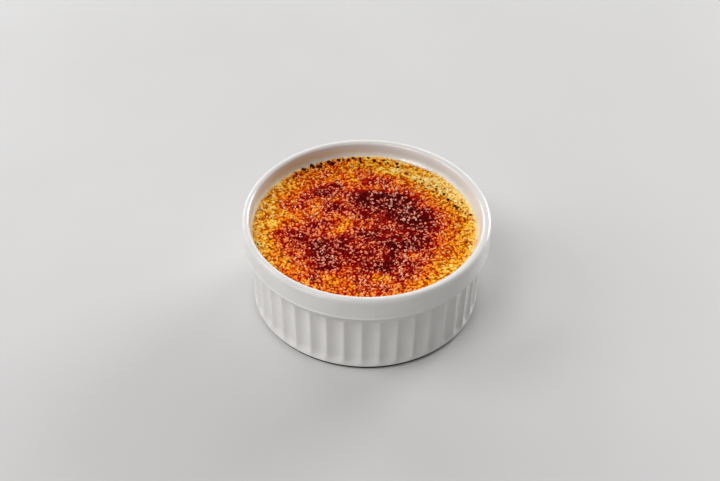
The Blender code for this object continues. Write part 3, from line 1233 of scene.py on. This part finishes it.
def grain_finish(name, gloss):
    material, tree, place = new_finish(name)
    burn = uneven(tree, read_number(tree, "burn"), place, 0.6 * MM, 0.08)
    light = uneven(tree, read_number(tree, "light"), place, 0.4 * MM, 0.10)
    dull, bright = colour_along(tree, burn, USUAL_SYRUP), colour_along(tree, burn, THIN_SYRUP_AND_HIGHLIGHT)
    # lighter grains are painted paler: painted glints as well as cleaner sugar
    colour = blend(tree, stretch(tree, light, 0.05, 0.6, 0, 1), dull, bright)
    clean = colour_along(tree, burn, CLEAN_SUGAR_AND_GLINT)
    # the lightest grains go towards pale sugar, partly as a painted glint
    colour = blend(tree, stretch(tree, light, 0.75, 1.05, 0, 0.8), colour, clean)
    nicks = relief(tree, mottle(tree, place, 0.25 * MM), 0.01 * MM)
    dress(tree, colour, wander(tree, place, 0.5 * MM, 0.08, 0.2), nicks, gloss)
    return material


put_on(grains.data, grain_finish("syrupy_grains", 0.02))
put_on(crystals.data, grain_finish("clear_crystals", 1.0))
for piece in (grains, crystals):
    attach(piece, "root")

# %% [markdown]
# ## Burnt bubbles and specks
#
# Syrup boils up where it meets the wall, and the flame burns those bubbles black. They stand in a
# row along the back of the dish, the largest on the left. Elsewhere a few specks of sugar burnt on
# their own in the gold. A bubble is a ball with lumps on it and its top let in, as if it had just
# burst, and a speck is the same ball, flatter and smaller.

# %% Burnt bubbles
BUBBLES = [
    # x, y, width
    (-30.6, 30.4, 1.2), (-29.6, 33.4, 1.2), (-26.6, 35.8, 1.9), (-25.4, 34.2, 1.0),
    (-23.0, 38.0, 2.5), (-20.3, 38.0, 2.2), (-19.4, 39.8, 1.4), (-20.4, 36.2, 1.2),
    (-16.0, 40.8, 2.6), (-14.8, 40.2, 1.6), (-12.0, 42.4, 1.7), (-10.4, 42.8, 1.0),
    (-8.0, 43.2, 1.3), (-6.0, 43.8, 1.5), (-3.0, 43.6, 1.6), (-2.6, 41.6, 1.2),
    (0.4, 44.4, 1.0), (3.0, 42.6, 1.8), (5.5, 41.2, 1.0), (7.4, 43.0, 1.0),
    (8.8, 41.4, 1.0), (12.8, 41.0, 1.4), (13.0, 38.8, 1.3),
]
SPECKS = [
    # x, y, width
    (14.2, 32.7, 1.3), (16.3, 34.2, 1.4), (13.8, 36.6, 0.9), (8.2, 33.9, 1.1),
    (5.5, 31.0, 1.2), (20.3, 29.8, 1.4), (22.6, 30.5, 0.9), (25.6, 26.4, 1.4),
    (28.8, 24.6, 1.5), (29.3, 26.2, 0.9), (27.3, 22.8, 1.3), (24.3, 24.8, 1.0),
    (22.7, 22.8, 1.0), (19.8, 24.6, 1.2), (21.4, 26.9, 1.1), (32.0, 21.1, 1.3),
    (30.6, 20.6, 0.9), (33.3, 17.6, 1.4), (36.1, 13.7, 1.4), (37.0, 12.6, 1.5),
    (39.2, 16.0, 0.9), (39.3, 10.1, 1.1), (42.4, 8.0, 1.1), (39.5, 5.9, 1.2),
    (33.6, 8.0, 1.0), (20.6, 36.8, 0.9), (-12.0, 35.2, 1.1), (-15.0, 33.8, 1.0),
    (-17.0, 31.8, 1.3), (-20.3, 30.6, 1.1), (-39.8, 18.6, 1.3), (-43.6, 10.0, 1.1),
    (-44.6, 5.2, 0.9), (-40.2, 4.5, 0.9), (-39.2, -5.5, 1.2), (-38.4, -8.4, 1.1),
    (-38.2, -13.7, 1.0), (-43.2, -11.6, 1.0), (-33.2, -18.0, 1.4), (-30.5, -21.2, 1.1),
    (-20.6, -31.6, 1.5), (-19.2, -32.8, 1.3), (-17.8, -30.8, 1.2), (-13.4, -34.4, 1.3),
    (-4.6, -32.4, 1.4), (-3.0, -33.4, 1.1), (14.6, -35.4, 1.0), (16.2, -30.6, 1.4),
    (17.8, -29.6, 1.2), (40.0, -8.6, 1.0),
]
BURST_DEPTH = 0.5
LUMP_STRENGTH = 0.35
LUMPS_ACROSS = 1.6
OVAL = (1.2, 0.85)
BURNT_LIFT = (0, 0, 0.1 * MM)
SPECK_COUNT = 60
SPECK_WIDTHS = (0.45, 0.85)
SPECK_EDGE = CRUST_RADIUS - 43.5 * MM


def lumpy_ball(corners, chance):
    """A ball of radius 1 with lumps, whose top has fallen in."""
    offset = Vector(chance.uniform(-50, 50, 3))
    lump = np.array([noise.noise(Vector(corner) * LUMPS_ACROSS + offset) for corner in corners])
    shape = corners * (1 + LUMP_STRENGTH * lump)[:, None]
    let_in = np.exp(-4 * (corners[:, 0]**2 + corners[:, 1]**2)) * (corners[:, 2] > 0)
    shape[:, 2] -= BURST_DEPTH * let_in
    return shape


def lay_burnt(name, places, flatness, subdivisions, seed):
    """Lays lumpy balls, given as (x, y, width) in millimetres, on the crust."""
    chance = np.random.default_rng(seed)
    corners, faces = ball(subdivisions)
    surface = read_points(crust_mesh)
    shapes = []
    for x, y, width in places:
        shape = lumpy_ball(corners, chance) * width * MM / 2 * (*OVAL, flatness)
        turn = np.array(Matrix.Rotation(chance.uniform(0, TAU), 3, "Z"))
        shapes.append(shape @ turn + surface[nearest_crust_point(x * MM, y * MM)] + BURNT_LIFT)
    piece = join_shapes(name, shapes, faces, {"light": chance.random(len(shapes))})
    piece.data.shade_smooth()
    return piece


def more_specks():
    """Small specks scattered over the gold part of the crust."""
    chance = random.Random(31)
    specks = []
    while len(specks) < SPECK_COUNT:
        x, y = place_on_crust(chance, SPECK_EDGE)
        if chance.random() < 1 - smooth_step(0.25, 0.5, burn_at(x, y)):
            specks.append((x / MM, y / MM, chance.uniform(*SPECK_WIDTHS)))
    return specks


bubbles = lay_burnt("burnt_bubbles", BUBBLES, 0.8, 3, 17)
specks = lay_burnt("burnt_specks", SPECKS + more_specks(), 0.5, 2, 23)
print("bubbles:", triangles_in(bubbles.data), "triangles, specks:", triangles_in(specks.data))


# %% Black sugar
def black_sugar_finish(name, brown):
    """Nearly black sugar; the brown share says how far the lightest pieces go back to brown."""
    material, tree, place = new_finish(name)
    light = maths(tree, "MULTIPLY", read_number(tree, "light"), brown)
    light = uneven(tree, light, place, 0.6 * MM, 0.15)
    tone = colour_along(tree, light, [
        (0.1, rgb(44, 6, 2)),
        (0.4, rgb(96, 24, 6)),
        (0.8, rgb(178, 92, 22)),
    ])
    blisters = relief(tree, mottle(tree, place, 0.4 * MM), 0.03 * MM)
    dress(tree, tone, wander(tree, place, 0.5 * MM, 0.08, 0.2), blisters, gloss=0.02)
    return material


put_on(bubbles.data, black_sugar_finish("black_sugar", 0.4))
put_on(specks.data, black_sugar_finish("brown_sugar", 1.0))
for piece in (bubbles, specks):
    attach(piece, "root")

# %% [markdown]
# ## Clear syrup at the wall
#
# At the back on the right the syrup ran against the wall, climbed a little and set clear. A hollow
# face like that gathers a high light into one thin bright line, which a flat wall can't do. So it
# is a real sliver: a hollow section carried along the wall, which dies out at both ends.

# %% Clear syrup
SYRUP_FROM = math.radians(50)
SYRUP_TO = math.radians(72.5)
SYRUP_RISE = 1.1 * MM
SYRUP_BASE = CRUST_LEVEL + 0.5 * MM
SYRUP_ROOT = 0.1 * MM
SYRUP_TIP = 0.04
SYRUP_WAVES = 40


def syrup_mesh(sections=80, arc_points=10):
    """A sliver with a hollow front, in the corner between the crust and the wall."""
    shares = np.linspace(0, 1, sections)
    points = []
    for share, angle in zip(shares, SYRUP_FROM + (SYRUP_TO - SYRUP_FROM) * shares):
        rise = SYRUP_RISE * (SYRUP_TIP + (1 - SYRUP_TIP) * math.sin(math.pi * share) ** 0.6)
        rise *= 1 + 0.12 * noise.noise((SYRUP_WAVES * share, 0, 3.3))
        turns = np.linspace(0, math.pi / 2, arc_points)
        heights = SYRUP_BASE + rise * (1 - np.sin(turns))
        radii = bore_radius(heights) - rise * (1 - np.cos(turns))
        heights = np.append(heights, [SYRUP_BASE - SYRUP_ROOT, SYRUP_BASE + rise])
        radii = np.append(radii, bore_radius(heights[-2:]) + SYRUP_ROOT)
        shifted = radii * math.cos(angle) - bore_shift(heights)
        points.append(np.stack([shifted, radii * math.sin(angle), heights], 1))
    around = len(points[0])
    starts = range(0, sections * around, around)
    first_end = tuple(range(around))
    last_end = tuple(range(starts[-1], starts[-1] + around))
    faces = bridge(starts, around) + [first_end] + flip([last_end])
    return new_mesh("clear_syrup", np.concatenate(points), faces)


def clear_syrup_finish():
    material, tree, place = new_finish("clear_syrup")
    tones = [(0.3, rgb(236, 226, 206)), (0.7, rgb(240, 236, 228))]
    tone = colour_along(tree, mottle(tree, place, 1.5 * MM), tones)
    waves = relief(tree, mottle(tree, place, 1.2 * MM), 0.01 * MM)
    shader = dress(tree, tone, wander(tree, place, 0.8 * MM, 0.05, 0.1), waves, gloss=1.0)
    shader.inputs["Coat Weight"].default_value = 1.0
    return material


syrup = show_piece("clear_syrup", syrup_mesh())
put_on(syrup.data, clear_syrup_finish())
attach(syrup, "root")
print("clear syrup:", triangles_in(syrup.data), "triangles")
